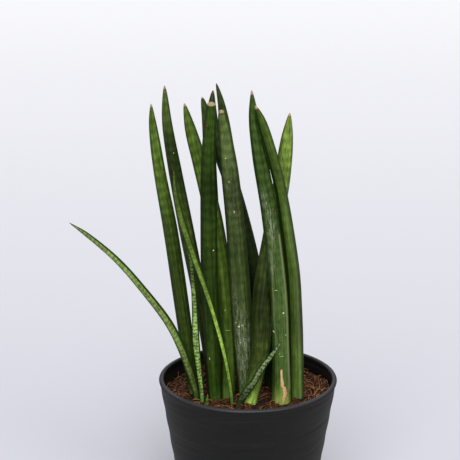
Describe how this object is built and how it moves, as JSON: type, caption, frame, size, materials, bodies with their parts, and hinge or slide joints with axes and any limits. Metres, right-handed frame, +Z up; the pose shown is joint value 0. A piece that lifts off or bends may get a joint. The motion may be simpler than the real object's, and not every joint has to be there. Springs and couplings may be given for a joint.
{
  "type": "potted sansevieria stuckyi",
  "caption": "Upright cluster of round, pointed succulent leaves with slender young leaves, standing in coir soil in a tapered plain plastic pot.",
  "frame": {"origin": "centre of the pot's flat base, on the surface it stands on", "axes": "+Z up through the pot; -Y towards the front of the plant; +X to the right as seen from the front"},
  "size_m": [0.246, 0.17, 0.434],
  "materials": {
    "pot_plastic": "charcoal, fine matte",
    "coir_soil": "red-brown coir fibre and chips, dry",
    "leaf_green": "waxy green, faint cross-bands and fine grooves",
    "leaf_dark": "waxy dark green, faint cross-bands and fine grooves",
    "leaf_pale": "waxy light green with clear cross-bands",
    "leaf_young": "waxy fresh green, mottled in light cross-bands"
  },
  "bodies": {
    "root": {"pot": "pot_plastic", "soil": "coir_soil", "leaf_left_outer": "leaf_green", "leaf_left_inner": "leaf_dark", "leaf_left_pale": "leaf_green", "leaf_back_left": "leaf_dark", "leaf_front_left": "leaf_dark", "leaf_back_centre": "leaf_dark", "leaf_front_centre": "leaf_green", "leaf_back_tall": "leaf_dark", "leaf_right_scarred": "leaf_green", "leaf_right_outer": "leaf_green", "leaf_right_pale": "leaf_pale", "young_leaf_climbing": "leaf_young", "young_leaf_short": "leaf_young", "young_leaf_arching": "leaf_young", "young_leaf_leaning": "leaf_young", "shoot": "leaf_young"}
  },
  "joints": []
}
